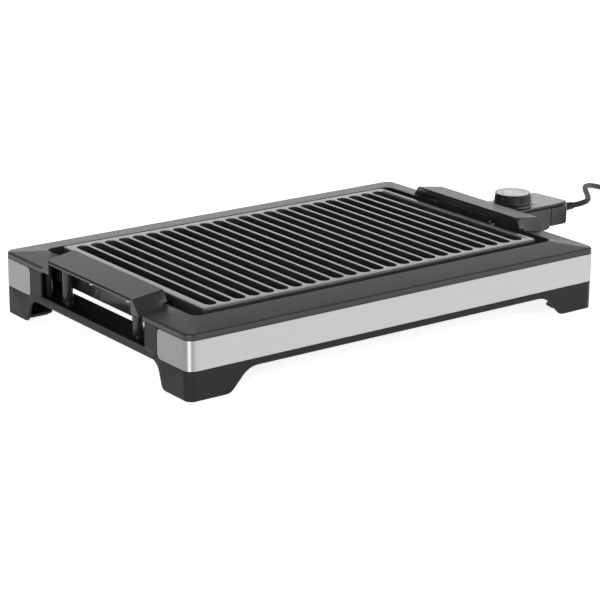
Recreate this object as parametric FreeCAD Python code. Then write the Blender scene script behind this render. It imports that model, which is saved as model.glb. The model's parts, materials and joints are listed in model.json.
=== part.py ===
import FreeCAD, Part
import math
import os

# Electric table grill: open frame on four feet, hanging drip tray, slotted grill plate
# with two handles, and a plug-in thermostat controller with knob, cord and plug.
# Millimetres. +X runs to the controller's end, -Y is the front, +Z is up. Everything is
# drawn from the point on the table under the middle of the frame, and the finished set
# moves along X so that the origin is under the middle of grill and controller together.

V = FreeCAD.Vector

# ---- driving dimensions: frame ----
body_length = 520.0
body_depth = 352.0
corner_radius = 10.0
wall = 2.6
foot_bottom = 1.5
front_sill = 24.5
side_sill = 28.0
foot_width_x = 47.5
foot_width_y = 46.5
arch_slope_x = 21.5
arch_slope_y = 8.5
wall_top = 62.4
ledge_bottom = 30.0
ledge_thickness = 2.4
ledge_width_x = 41.0
ledge_width_y = 45.0
foot_floor_low = 2.0
foot_floor_high = 4.6
pillar_width = 22.0
seam_gap = 0.15
opening_floor = 36.8
post_radius = 5.5
post_inset = 13.0
post_from_handle_end = 27.3
post_top = 38.8
pad_thickness = 1.95
pad_half_x = 13.0
pad_half_y = 12.0
pad_inset_x = 22.0
pad_inset_y = 21.0
pad_peg_radius = 3.0

# ---- deck ----
crease_z = 68.5
crease_rounding = 2.4
pocket_z = 73.0
deck_width_x = 30.0
deck_width_y = 35.0
pocket_radius = 9.0
skirt_thickness = 2.4
skirt_bottom = 45.0
deck_skin = 2.4
deck_tab = 3.5
tongue_side_gap = 5.0
tongue_drop_gap = 2.5
strap_half = 70.0
strap_bottom = 37.0
strap_top = 42.0
tray_shelf_depth = 5.5
tray_shelf_thickness = 2.6
deck_screw_inset_x = 60.0
deck_screw_inset_y = 18.0
side_screw_inset_x = 14.0
side_screw_from_seam = 13.0
screw_radius = 1.5
boss_radius = 4.2

# ---- trim band ----
band_bottom = 31.9
band_top = 62.0
band_thickness = 0.8
band_proud = 0.2
band_return = 54.0
band_end_radius = 5.5
band_gap = 0.15

# ---- drip tray ----
tray_bottom = 35.5
tray_rim = 50.0
tray_sheet = 1.2
tray_end_gap = 2.5
tray_side_gap = 11.0
tray_taper = 7.0
tray_flange = 8.0

# ---- grill plate ----
plate_gap_x = 16.0
plate_gap_y = 7.5
plate_corner = 5.0
plate_top = 75.0
plate_thickness = 14.0
slot_pitch = 17.16
slot_width = 12.9
slot_border_x = 10.0
slot_border_y = 8.5
element_radius = 4.0
element_z = 57.0
channel_clearance = 0.3
raceway_width = 24.0
raceway_floor = 1.0
raceway_rise = 4.0
element_run_y = 60.0
element_inset = 24.0
element_lead = 22.0
clip_thickness = 1.2
clip_x = 110.0
clip_screw_offset = 9.0
clip_screw_radius = 1.5
tongue_half = 41.0
tongue_bottom = 64.0
tongue_top = 69.5

# ---- handles ----
handle_inside = 2.0
handle_outside = 2.5
handle_inner_z = 85.4
handle_outer_z = 80.5
handle_end_run = 10.8
handle_foot_z = 65.5
handle_end_gap = 1.2
handle_wall = 2.6
handle_lip = 4.0
handle_screw_y = 35.0
handle_screw_inset = 24.0
handle_screw_radius = 2.0

# ---- electrical connection ----
pin_radius = 2.3
pin_y = 17.0
pin_length = 22.0
sheath_out = 8.0
shroud_length = 32.0
shroud_half = 26.0
shroud_bottom = 44.5
shroud_above_element = 2.4
shroud_wall = 2.0
socket_flange_half = 34.0
socket_pad_depth = 10.0
probe_radius = 3.0
probe_clearance = 0.1
probe_depth = 46.0

# ---- controller ----
case_gap = 1.0
case_length = 114.0
case_half = 27.0
case_bottom = 42.5
tail_length = 27.0
tail_bottom = 46.0
case_parting = 67.3
cover_bottom = 69.4
cover_top = 71.5
case_wall = 2.2
case_corner = 5.0
case_screw_y = 20.5
collar_radius = 22.2
collar_height = 2.4
knob_from_case = 51.5
knob_radius = 21.0
knob_gap = 0.4
knob_height = 11.6
dial_radius = 18.4
spindle_radius = 3.0
running_clearance = 0.05

# ---- cord ----
cord_diameter = 6.5
cord_axis_z = 56.0
relief_neck_radius = 3.9
relief_flange_radius = 5.2
relief_length = 31.0
coil_from_relief = 128.0
coil_y = -60.0
coil_inner_turn = 32.6
coil_pitch = 6.6
coil_layers = 2
coil_turns = 3.25
coil_entry = 25.0
coil_stub = 34.0
plug_radius = 18.0
plug_length = 34.0
plug_grip = 24.0
cord_steps = [
    (0, 0, 56), (17, 0, 56), (34, 8, 55.7), (52, 28, 54.6), (72, 53, 52.4), (100, 83, 47),
    (135, 108, 38), (174, 122, 25), (211, 120, 12.5), (241, 102, 5.2), (251, 73, 3.3),
    (240, 46, 3.3), (211, 27, 3.3), (189, 15.5, 3.3), (175, 1, 3.3), (167.2, -17, 3.3),
    (167.2, -35, 3.3),
]

half_x = body_length / 2
half_y = body_depth / 2
foot_inner_x = half_x - foot_width_x
foot_inner_y = half_y - foot_width_y
seam_y = foot_inner_y - arch_slope_y
opening_half = seam_y - pillar_width
notch_half = opening_half - deck_tab
ledge_top = ledge_bottom + ledge_thickness
post_x = half_x - post_inset

pocket_half_x = half_x - deck_width_x
pocket_half_y = half_y - deck_width_y
skirt_half_x = pocket_half_x + skirt_thickness
skirt_half_y = pocket_half_y + skirt_thickness
plate_half_x = pocket_half_x - plate_gap_x
plate_half_y = pocket_half_y - plate_gap_y
plate_bottom = plate_top - plate_thickness
tray_half_x = plate_half_x - tray_end_gap
tray_half_y = pocket_half_y - tray_side_gap
slot_room = 2 * (plate_half_x - slot_border_x) - slot_width
slot_count = int(slot_room / slot_pitch) + 1
slot_reach = plate_half_y - slot_border_y

channel_radius = element_radius + channel_clearance
shroud_top = element_z + element_radius + shroud_above_element
raceway_bottom = element_z - element_radius - raceway_floor
element_end_x = plate_half_x - element_inset
element_bend_x = element_end_x - element_lead
sheath_end = plate_half_x + sheath_out
pin_end = sheath_end + pin_length
probe_tip = plate_half_x - probe_depth

handle_inner_x = pocket_half_x - handle_inside
handle_outer_x = half_x + handle_outside
handle_foot_y = notch_half - handle_end_gap
handle_top_y = handle_foot_y - handle_end_run
handle_screw_x = half_x - handle_screw_inset
tongue_end = handle_screw_x + 5.0
post_y = handle_foot_y - post_from_handle_end

shroud_end = plate_half_x + shroud_length
case_start = shroud_end + case_gap
case_end = case_start + case_length
tail_start = case_end - tail_length
knob_x = case_start + knob_from_case
knob_low = cover_top + collar_height + knob_gap
knob_top = knob_low + knob_height
relief_end = case_end + relief_length

screw_bore = screw_radius + running_clearance
cord_radius = cord_diameter / 2
coil_outer_turn = coil_inner_turn + coil_pitch
coil_x = relief_end + coil_from_relief
cord_route = [(relief_end + x, y, z) for x, y, z in cord_steps]
nodes = {}


# ---- building helpers ----
def corner_points(a, b, c, radius):
    """Start, middle and end of the arc that rounds corner b between a and c."""
    to_a = (a - b).normalize()
    to_c = (c - b).normalize()
    half_angle = to_a.getAngle(to_c) / 2
    reach = radius / math.tan(half_angle)
    bisector = (to_a + to_c).normalize()
    centre = b + bisector * (radius / math.sin(half_angle))
    return b + to_a * reach, centre - bisector * radius, b + to_c * reach


def place(u, v, plane, offset):
    """A point (u, v) of a drawing plane set off along that plane's normal."""
    if plane == "xy":
        return V(u, v, offset)
    if plane == "xz":
        return V(u, offset, v)
    return V(offset, u, v)


def outline(points, plane, offset):
    """A closed wire through (u, v, radius) corners."""
    corners = [place(u, v, plane, offset) for u, v, r in points]
    radii = [r for u, v, r in points]
    count = len(corners)
    arcs = []
    for i in range(count):
        if radii[i] > 0:
            arcs.append(corner_points(corners[i - 1], corners[i], corners[(i + 1) % count], radii[i]))
        else:
            arcs.append((corners[i], None, corners[i]))
    edges = []
    for i in range(count):
        start, middle, end = arcs[i]
        if middle is not None:
            edges.append(Part.Arc(start, middle, end).toShape())
        following = arcs[(i + 1) % count][0]
        if end.distanceToPoint(following) > 1e-6:
            edges.append(Part.LineSegment(end, following).toShape())
    return Part.Wire(edges)


def prism(points, plane, low, high):
    """The outline carried from low to high along its plane's normal."""
    face = Part.Face(outline(points, plane, low))
    return face.extrude(place(0, 0, plane, high - low))


def rectangle(x0, x1, y0, y1, radius=0.0):
    return [(x0, y0, radius), (x1, y0, radius), (x1, y1, radius), (x0, y1, radius)]


def block(x, y, z, radius=0.0):
    """A box over three ranges, its upright edges rounded by radius."""
    return prism(rectangle(x[0], x[1], y[0], y[1], radius), "xy", z[0], z[1])


def centred(reach_x, reach_y, z, radius=0.0):
    return block((-reach_x, reach_x), (-reach_y, reach_y), z, radius)


def rod(radius, start, end):
    axis = V(*end) - V(*start)
    return Part.makeCylinder(radius, axis.Length, V(*start), axis)


def cone(radius_start, radius_end, start, end):
    axis = V(*end) - V(*start)
    return Part.makeCone(radius_start, radius_end, axis.Length, V(*start), axis)


def frustum(low, high):
    """A solid between two closed wires."""
    return Part.makeLoft([low, high], True, True)


def rounded_level(reach_x, reach_y, radius, z):
    return outline(rectangle(-reach_x, reach_x, -reach_y, reach_y, radius), "xy", z)


def joined(pieces):
    whole = pieces[0]
    if len(pieces) > 1:
        whole = whole.fuse(pieces[1:])
    return whole.removeSplitter()


def without(piece, tools):
    return piece.cut(tools).removeSplitter()


def mirrored_x(shape):
    return shape.mirror(V(0, 0, 0), V(1, 0, 0))


def mirrored_y(shape):
    return shape.mirror(V(0, 0, 0), V(0, 1, 0))


def four_corners(x, y):
    return [(sx * x, sy * y) for sx in (-1, 1) for sy in (-1, 1)]


def keep(name, *pieces):
    """Hold a node's solids until all are made; a group keeps its pieces apart."""
    nodes[name] = [solid for piece in pieces for solid in piece.Solids]


def screw(head_radius, head_height, shank_radius, length, base, up=1):
    """A pan-head screw standing on its head's outer face at base."""
    x, y, z = base
    head = rod(head_radius, base, (x, y, z + up * head_height))
    shank = rod(shank_radius, (x, y, z + up * head_height), (x, y, z + up * length))
    return joined([head, shank])


# ---- frame: front and rear shells, side panels ----
deck_screw_spots = ([(k * (half_x - deck_screw_inset_x), sy * (half_y - deck_screw_inset_y))
                     for k in (-1, -1 / 3, 1 / 3, 1) for sy in (-1, 1)]
                    + four_corners(half_x - side_screw_inset_x, seam_y - side_screw_from_seam))
pad_spots = four_corners(half_x - pad_inset_x, half_y - pad_inset_y)


def seam_outline(gap):
    """The side panels' share of the frame, seen along X; gap narrows it."""
    top = seam_y - gap
    low = top - 8.0
    high = wall_top + 5.0
    turn_high, turn_low = opening_floor + 0.7, side_sill - 1.0
    return [(-top, high, 0), (-top, turn_high, 0), (-low, turn_low, 0), (-low, 0, 0),
            (low, 0, 0), (low, turn_low, 0), (top, turn_high, 0), (top, high, 0)]


def band_region(grow):
    """The trim band's share of the frame's faces on the front, as a solid."""
    inner = half_y - band_return - grow
    outer = half_y + 5.0
    radius = band_end_radius + grow
    profile = [(-outer, band_bottom - grow, 0), (-inner, band_bottom - grow, radius),
               (-inner, band_top + grow, radius), (-outer, band_top + grow, 0)]
    return prism(profile, "yz", -half_x - 5, half_x + 5)


def arch_profile(reach, foot, slope, sill, rounding, toe):
    """One side of the frame seen square on: two feet and the sill between them."""
    inner = foot - slope
    return [(-reach, foot_bottom, 1.2), (-foot, foot_bottom, toe), (-inner, sill, rounding),
            (inner, sill, rounding), (foot, foot_bottom, toe), (reach, foot_bottom, 1.2),
            (reach, wall_top, 0), (-reach, wall_top, 0)]


def frame_shape():
    """Outer wall on four feet with arches between them, and the ledge inside it."""
    inner_radius = corner_radius - wall
    lap = wall - 0.2
    walls = without(centred(half_x, half_y, (foot_bottom, wall_top), corner_radius),
                    [centred(half_x - wall, half_y - wall, (0, wall_top + 1), inner_radius)])
    long_view = arch_profile(half_x, foot_inner_x, arch_slope_x, front_sill, 24, 13)
    short_view = arch_profile(half_y, foot_inner_y, arch_slope_y, side_sill, 13, 8)
    walls = walls.common(prism(long_view, "xz", -half_y - 1, half_y + 1))
    walls = walls.common(prism(short_view, "yz", -half_x - 1, half_x + 1))
    ledge = without(centred(half_x - lap, half_y - lap, (ledge_bottom, ledge_top), inner_radius),
                    [centred(half_x - ledge_width_x, half_y - ledge_width_y, (0, ledge_top + 1), 8.0)])
    floors = []
    for sx, sy in four_corners(1, 1):
        x = sorted((sx * (half_x - foot_width_x + 9.5), sx * (half_x - lap)))
        y = sorted((sy * (half_y - foot_width_y + 10.5), sy * (half_y - lap)))
        floors.append(block(x, y, (foot_floor_low, foot_floor_high), 6.0))
    posts = [rod(post_radius, (x, y, ledge_bottom + 1), (x, y, post_top))
             for x, y in four_corners(post_x, post_y)]
    frame = joined([walls, ledge] + floors + posts)
    openings = [block(x, (-opening_half, opening_half), (opening_floor, wall_top + 5))
                for x in ((-half_x - 1, -half_x + wall + 1), (half_x - wall - 1, half_x + 1))]
    holes = [rod(screw_bore + 0.25, (x, y, ledge_bottom - 5), (x, y, ledge_top + 1))
             for x, y in deck_screw_spots]
    pegs = [rod(pad_peg_radius + running_clearance, (x, y, 0), (x, y, foot_floor_high + 5))
            for x, y in pad_spots]
    return without(frame, openings + holes + pegs)


frame = frame_shape()
band_inset = band_proud - band_thickness - running_clearance
recess = without(
    centred(half_x + 3, half_y + 3, (band_bottom - band_gap, band_top + band_gap)),
    [centred(half_x + band_inset, half_y + band_inset, (0, 80), corner_radius + band_inset)])
front_recess = recess.common(band_region(band_gap))
panels = frame.common(prism(seam_outline(seam_gap), "yz", -half_x - 5, half_x + 5))
shells = without(frame, [prism(seam_outline(0.0), "yz", -half_x - 5, half_x + 5),
                         front_recess, mirrored_y(front_recess)])
for solid in shells.Solids:
    keep("front_shell" if solid.CenterOfMass.y < 0 else "rear_shell", solid)
for solid in panels.Solids:
    keep("left_side_panel" if solid.CenterOfMass.x < 0 else "right_side_panel", solid)

# ---- foot pads ----
pads = [joined([block((x - pad_half_x, x + pad_half_x), (y - pad_half_y, y + pad_half_y),
                      (0, pad_thickness), 5.0),
                rod(pad_peg_radius, (x, y, pad_thickness / 2), (x, y, foot_floor_high + 2))])
        for x, y in pad_spots]
keep("foot_pads", *pads)

# ---- trim bands ----
band_ring = without(
    centred(half_x + band_proud, half_y + band_proud, (band_bottom, band_top), corner_radius + band_proud),
    [centred(half_x + band_proud - band_thickness, half_y + band_proud - band_thickness, (0, 80),
             corner_radius + band_proud - band_thickness)])
front_band = band_ring.common(band_region(0.0))
keep("trim_band_front", front_band)
keep("trim_band_rear", mirrored_y(front_band))


# ---- deck ----
def deck_shape():
    """Sloping top round the plate's pocket, outer lip, inner skirt, screw bosses, tray shelf."""
    under_crease = crease_z - deck_skin
    inner_radius = corner_radius - wall
    lip = centred(half_x, half_y, (wall_top, crease_z), corner_radius)
    crown = frustum(rounded_level(half_x, half_y, corner_radius, crease_z),
                    rounded_level(pocket_half_x, pocket_half_y, pocket_radius, pocket_z))
    upper = joined([lip, crown])
    rim_edges = [e for e in upper.Edges
                 if abs(e.BoundBox.ZMin - crease_z) < 0.01 and abs(e.BoundBox.ZMax - crease_z) < 0.01]
    upper = upper.makeFillet(crease_rounding, rim_edges)
    hollow = joined([
        centred(half_x - wall, half_y - wall, (0, under_crease), inner_radius),
        frustum(rounded_level(half_x - wall, half_y - wall, inner_radius, under_crease),
                rounded_level(pocket_half_x, pocket_half_y, pocket_radius, pocket_z - deck_skin))])
    skin = without(upper, [hollow])
    skirt = centred(skirt_half_x, skirt_half_y, (skirt_bottom, pocket_z - 0.5),
                    pocket_radius + skirt_thickness)
    strap = block((pocket_half_x, skirt_half_x), (-strap_half, strap_half), (strap_bottom, skirt_bottom + 1))
    bosses = [rod(boss_radius, (x, y, ledge_top), (x, y, crease_z + 0.6)) for x, y in deck_screw_spots]
    ribs = [block((sx * skirt_half_x - 1.5, sx * skirt_half_x + 1.5), (y - 1, y + 1),
                  (skirt_bottom + 1, skirt_bottom + 10))
            for sx in (-1, 1) for y in (-38, -29, 29, 38)]
    solid = joined([skin, skirt, strap] + bosses + ribs)
    solid = without(solid, [centred(pocket_half_x, pocket_half_y, (0, 90), pocket_radius)])
    shelf_top = tray_rim - tray_sheet
    shelf_inner = pocket_half_y - tray_shelf_depth
    shelf_x = (-tray_half_x + 21.5, tray_half_x - 21.5)
    shelves = [block(shelf_x, sorted((s * shelf_inner, s * (pocket_half_y + 0.2))),
                     (shelf_top - tray_shelf_thickness, shelf_top)) for s in (-1, 1)]
    solid = joined([solid] + shelves)
    window_half = tongue_half + tongue_side_gap
    cuts = []
    for side in (-1, 1):
        notch_x = sorted((side * (skirt_half_x + 1.6), side * (half_x + 1)))
        skin_x = sorted((side * skirt_half_x, side * (half_x + 1)))
        skirt_x = sorted((side * (pocket_half_x - 1), side * (skirt_half_x + 2)))
        cuts.append(block(notch_x, (-notch_half, notch_half), (55, 90)))
        cuts.append(block(skin_x, (-notch_half, notch_half), (60, 90)))
        cuts.append(block(skirt_x, (-window_half, window_half), (tongue_bottom - tongue_drop_gap, 90)))
    socket_half = shroud_half + 1.5
    cuts.append(block((pocket_half_x - 1, skirt_half_x + 2), (-socket_half, socket_half), (strap_top, 90)))
    cuts += [rod(screw_bore, (x, y, ledge_bottom), (x, y, ledge_top + 18)) for x, y in deck_screw_spots]
    return without(solid, cuts)


keep("top_deck", deck_shape())
keep("deck_screws", *[screw(3.2, 1.8, screw_radius, 18.0, (x, y, ledge_bottom - 1.8))
                      for x, y in deck_screw_spots])


# ---- drip tray ----
def tray_shape():
    basin = frustum(rounded_level(tray_half_x - tray_taper, tray_half_y - tray_taper, 10.0, tray_bottom),
                    rounded_level(tray_half_x, tray_half_y, 12.0, tray_rim))
    inside = frustum(
        rounded_level(tray_half_x - tray_taper - tray_sheet, tray_half_y - tray_taper - tray_sheet, 8.8,
                      tray_bottom + tray_sheet),
        rounded_level(tray_half_x - tray_sheet, tray_half_y - tray_sheet, 10.8, tray_rim + 0.01))
    flange = centred(tray_half_x - 6, tray_half_y + tray_flange, (tray_rim - tray_sheet, tray_rim), 6.0)
    return without(joined([basin, flange]), [inside])


keep("drip_tray", tray_shape())


# ---- heating element ----
def element_route():
    """Flat hairpin: two terminals, two long runs, one closed end."""
    y, x = element_run_y, element_end_x
    return [(sheath_end, -pin_y, 0), (x, -pin_y, 12), (element_bend_x, -y, 16), (-x, -y, 30),
            (-x, y, 30), (element_bend_x, y, 16), (x, pin_y, 12), (sheath_end, pin_y, 0)]


def open_route(points, z):
    """An open wire through (x, y, radius) corners at height z."""
    corners = [V(x, y, z) for x, y, r in points]
    edges = []
    last = corners[0]
    for i in range(1, len(points) - 1):
        start, middle, end = corner_points(corners[i - 1], corners[i], corners[i + 1], points[i][2])
        edges.append(Part.LineSegment(last, start).toShape())
        edges.append(Part.Arc(start, middle, end).toShape())
        last = end
    edges.append(Part.LineSegment(last, corners[-1]).toShape())
    return Part.Wire(edges)


def swept(wire, profile):
    return wire.makePipeShell([profile], True, True)


def circle_at(radius, centre, direction):
    return Part.Wire([Part.Circle(V(*centre), V(*direction), radius).toShape()])


def track(points, width, low, high):
    """A rectangular section carried along a flat route."""
    x, y, r = points[0]
    profile = outline([(y - width / 2, low, 0), (y + width / 2, low, 0),
                       (y + width / 2, high, 0), (y - width / 2, high, 0)], "yz", x)
    return swept(open_route(points, (low + high) / 2), profile)


element = swept(open_route(element_route(), element_z),
                circle_at(element_radius, (sheath_end, -pin_y, element_z), (1, 0, 0)))
keep("heating_element", element)
terminal_pins = [rod(pin_radius, (sheath_end, y, element_z), (pin_end, y, element_z))
                 for y in (-pin_y, pin_y)]
keep("terminal_pins", *terminal_pins)
collars = [without(rod(element_radius, (sheath_end, y, element_z), (sheath_end + 3, y, element_z)),
                   [rod(pin_radius, (sheath_end - 1, y, element_z), (sheath_end + 4, y, element_z))])
           for y in (-pin_y, pin_y)]
keep("terminal_insulators", *collars)

clip_spots = [(x, y) for x in (-clip_x, clip_x) for y in (-element_run_y, element_run_y)]
clip_low = raceway_bottom - clip_thickness
clip_bore = clip_screw_radius + running_clearance
clips = [without(block((x - 6, x + 6), (y - raceway_width / 2, y + raceway_width / 2),
                       (clip_low, raceway_bottom), 2.0),
                 [rod(clip_bore + 0.15, (x, y + s * clip_screw_offset, clip_low - 1),
                      (x, y + s * clip_screw_offset, raceway_bottom + 1)) for s in (-1, 1)])
         for x, y in clip_spots]
keep("element_clips", *clips)
keep("clip_screws", *[screw(2.5, 1.2, clip_screw_radius, 6.5, (x, y + s * clip_screw_offset, clip_low - 1.2))
                      for x, y in clip_spots for s in (-1, 1)])


# ---- grill plate ----
shroud_screw_y = socket_flange_half - 4.0


def plate_shape():
    """Slotted casting with the element's raceway, the probe's boss and two handle tongues."""
    slab = centred(plate_half_x, plate_half_y, (plate_bottom, plate_top), plate_corner)
    top_edges = [e for e in slab.Edges if abs(e.BoundBox.ZMin - plate_top) < 0.01]
    slab = slab.makeFillet(1.4, top_edges)
    slots = []
    for i in range(slot_count):
        x = (i - (slot_count - 1) / 2) * slot_pitch
        slots.append(block((x - slot_width / 2, x + slot_width / 2), (-slot_reach, slot_reach),
                           (plate_bottom - 1, plate_top + 1), slot_width / 2 - 0.01))
    slab = without(slab, slots)
    route = element_route()
    inside = [(plate_half_x, route[0][1], 0)] + route[1:-1] + [(plate_half_x, route[-1][1], 0)]
    raceway_top = plate_bottom + raceway_rise
    raceway = track(inside, raceway_width, raceway_bottom, raceway_top)
    boss = block((probe_tip - 6, plate_half_x), (-8, 8), (raceway_bottom, raceway_top))
    socket_pad = block((plate_half_x - socket_pad_depth, plate_half_x),
                       (-socket_flange_half, socket_flange_half), (raceway_bottom, raceway_top))
    tongues = [block(sorted((s * (plate_half_x - 4), s * tongue_end)), (-tongue_half, tongue_half),
                     (tongue_bottom, tongue_top)) for s in (-1, 1)]
    casting = joined([slab, raceway, boss, socket_pad] + tongues)
    channel = track(route, 2 * channel_radius, raceway_bottom - 3, element_z + channel_radius)
    bore = rod(probe_radius + probe_clearance,
               (probe_tip - 1, 0, element_z), (plate_half_x + 5, 0, element_z))
    holes = [rod(handle_screw_radius + 0.3, (s * handle_screw_x, y, tongue_bottom - 1),
                 (s * handle_screw_x, y, tongue_top + 1))
             for s in (-1, 1) for y in (-handle_screw_y, handle_screw_y)]
    holes += [rod(clip_bore, (x, y + s * clip_screw_offset, raceway_bottom - 2),
                  (x, y + s * clip_screw_offset, raceway_bottom + 6))
              for x, y in clip_spots for s in (-1, 1)]
    holes += [rod(screw_bore, (plate_half_x - 7, y, element_z), (plate_half_x + 1, y, element_z))
              for y in (-shroud_screw_y, shroud_screw_y)]
    return without(casting, [channel, bore] + holes)


keep("grill_plate", plate_shape())


# ---- handles ----
def handle_wire(inner, outer):
    """A four-cornered level of the handle from (x, y, z) at its inner and outer edges."""
    xi, yi, zi = inner
    xo, yo, zo = outer
    points = [V(xi, -yi, zi), V(xo, -yo, zo), V(xo, yo, zo), V(xi, yi, zi)]
    return Part.makePolygon(points + points[:1])


def under_roof(x):
    """Height just inside the handle's sloping top at x."""
    slope = (handle_outer_z - handle_inner_z) / (handle_outer_x - handle_inner_x)
    return handle_inner_z + (x - handle_inner_x) * slope - 1.5


def handle_shape():
    """Sloping bridge over the side opening, hollow below, with legs and screw bosses."""
    t = handle_wall
    rise = handle_outer_z - handle_foot_z
    outer = frustum(
        handle_wire((handle_inner_x, handle_foot_y - 0.5, handle_foot_z + 4),
                    (handle_outer_x, handle_foot_y, handle_foot_z)),
        handle_wire((handle_inner_x, handle_top_y + 0.5, handle_inner_z),
                    (handle_outer_x, handle_top_y - 1, handle_outer_z)))
    deep = handle_foot_z - 5.0
    inner_foot = handle_top_y - t + (handle_inner_z - t - deep) * handle_end_run / rise
    inner = frustum(
        handle_wire((handle_inner_x + t, inner_foot, deep), (handle_outer_x - t, inner_foot, deep)),
        handle_wire((handle_inner_x + t, handle_top_y - t, handle_inner_z - t - 0.6),
                    (handle_outer_x - t, handle_top_y - t - 1, handle_outer_z - t)))
    shell = without(outer, [inner])
    open_half = handle_top_y - 5.0
    lip_cut = block((handle_outer_x - t - 1, handle_outer_x + 1), (-open_half, open_half),
                    (deep, handle_outer_z - handle_lip))
    groove = block((handle_outer_x - 0.7, handle_outer_x + 1), (-open_half, open_half),
                   (handle_outer_z - 1.5, handle_outer_z - 0.7))
    over_skirt = block((handle_inner_x - 1, skirt_half_x + 0.6), (-handle_foot_y - 5, handle_foot_y + 5),
                       (deep, pocket_z + 1))
    shell = without(shell, [lip_cut, groove, over_skirt])
    hook_x = handle_inner_x + 9.0
    lug_cover = block((handle_inner_x - 5.5, handle_inner_x + 1), (-tongue_half - 2, tongue_half + 2),
                      (tongue_top + 1.5, tongue_top + 10))
    legs = [rod(post_radius, (post_x, y, post_top), (post_x, y, under_roof(post_x)))
            for y in (-post_y, post_y)]
    hooks = [rod(3.0, (hook_x, y, 53), (hook_x, y, under_roof(hook_x)))
             for y in (-post_y - 4, post_y + 4)]
    bosses = [rod(4.5, (handle_screw_x, y, tongue_top), (handle_screw_x, y, under_roof(handle_screw_x)))
              for y in (-handle_screw_y, handle_screw_y)]
    ribs = [block((handle_inner_x + 1, handle_outer_x - 1.5), (y - 1, y + 1),
                  (handle_outer_z - 3.5, handle_outer_z - 1))
            for y in (-50, 0, 50)]
    shell = joined([shell, lug_cover] + legs + hooks + bosses + ribs)
    pilots = [rod(handle_screw_radius + running_clearance, (handle_screw_x, y, tongue_bottom),
                  (handle_screw_x, y, under_roof(handle_screw_x) - 2))
              for y in (-handle_screw_y, handle_screw_y)]
    return without(shell, pilots)


right_handle = handle_shape()
keep("right_handle", right_handle)
keep("left_handle", mirrored_x(right_handle))
keep("handle_screws", *[screw(3.8, 2.0, handle_screw_radius, 15.0, (s * handle_screw_x, y, tongue_bottom - 2))
                        for s in (-1, 1) for y in (-handle_screw_y, handle_screw_y)])


# ---- socket shroud ----
def shroud_shape():
    """Insulating sleeve round the terminals, open towards the controller."""
    start = plate_half_x
    body = block((start, shroud_end), (-shroud_half, shroud_half), (shroud_bottom, shroud_top))
    flange = block((start, start + shroud_wall), (-socket_flange_half, socket_flange_half),
                   (raceway_bottom - 1, shroud_top))
    inner_half = shroud_half - shroud_wall
    cavity = block((start + shroud_wall, shroud_end + 1), (-inner_half, inner_half),
                   (shroud_bottom + shroud_wall, shroud_top - shroud_wall))
    holes = [rod(channel_radius, (start - 1, y, element_z), (start + 5, y, element_z))
             for y in (-pin_y, pin_y)]
    holes.append(rod(probe_radius + 0.5, (start - 1, 0, element_z), (start + 5, 0, element_z)))
    holes += [rod(screw_bore + 0.15, (start - 1, y, element_z), (start + 5, y, element_z))
              for y in (-shroud_screw_y, shroud_screw_y)]
    return without(joined([body, flange]), [cavity] + holes)


keep("socket_shroud", shroud_shape())
shroud_face = plate_half_x + shroud_wall
screw_start = plate_half_x - 6.0
keep("shroud_screws", *[joined([rod(2.6, (shroud_face, y, element_z), (shroud_face + 1.4, y, element_z)),
                                rod(screw_radius, (screw_start, y, element_z), (shroud_face, y, element_z))])
                        for y in (-shroud_screw_y, shroud_screw_y)])

# ---- controller: nose ----
nose_gap = 0.5
nose_start = sheath_end + 4.5
nose_end = case_start + 10.0
nose_half = shroud_half - shroud_wall - nose_gap
nose_low = shroud_bottom + shroud_wall + nose_gap
nose_high = shroud_top - shroud_wall - nose_gap
receptacle_radius = pin_radius + 1.2
probe_end = nose_end + 19.0


def receptacle_bores(radius, low, high):
    return [rod(radius, (low, y, element_z), (high, y, element_z)) for y in (-pin_y, pin_y)]


earth_slot = block((nose_start - 1, nose_end + 1), (-3.4, 3.4), (nose_low + 0.8, nose_low + 2.2))
carrier = without(
    block((nose_start, nose_end), (-nose_half, nose_half), (nose_low, nose_high)),
    receptacle_bores(receptacle_radius, nose_start - 1, nose_end + 1)
    + [rod(probe_radius, (nose_start - 1, 0, element_z), (nose_end + 1, 0, element_z)), earth_slot])
keep("receptacle_carrier", carrier)
sockets = receptacle_bores(receptacle_radius, nose_start, nose_end + 2)
bores = receptacle_bores(pin_radius + running_clearance, nose_start - 1, pin_end + 3)
keep("pin_receptacles", *[without(socket, bores) for socket in sockets])
keep("earth_spring", block((nose_start, nose_end + 4), (-3.2, 3.2), (nose_low + 0.8, nose_low + 2.0)))
probe = joined([rod(probe_radius, (probe_tip, 0, element_z), (probe_end, 0, element_z)),
                cone(1.6, probe_radius, (probe_tip - 0.8, 0, element_z), (probe_tip, 0, element_z))])
keep("probe_rod", probe)


# ---- controller: case ----
case_screw_spots = [(x, s * case_screw_y) for x in (case_start + 18.5, tail_start - 14.0) for s in (-1, 1)]
lamp_x = tail_start - 11.0
lamp_y = -10.0


def case_side(shrink, tail_rounding):
    """The case seen from the side: deep body, shallower tail."""
    s = shrink
    above = case_parting + 10
    return [(case_start + s, case_bottom + s, 2.5), (tail_start - s, case_bottom + s, 7.0),
            (tail_start - s, tail_bottom + s, 1.2), (case_end - s, tail_bottom + s, tail_rounding),
            (case_end - s, above, 0), (case_start + s, above, 0)]


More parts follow.
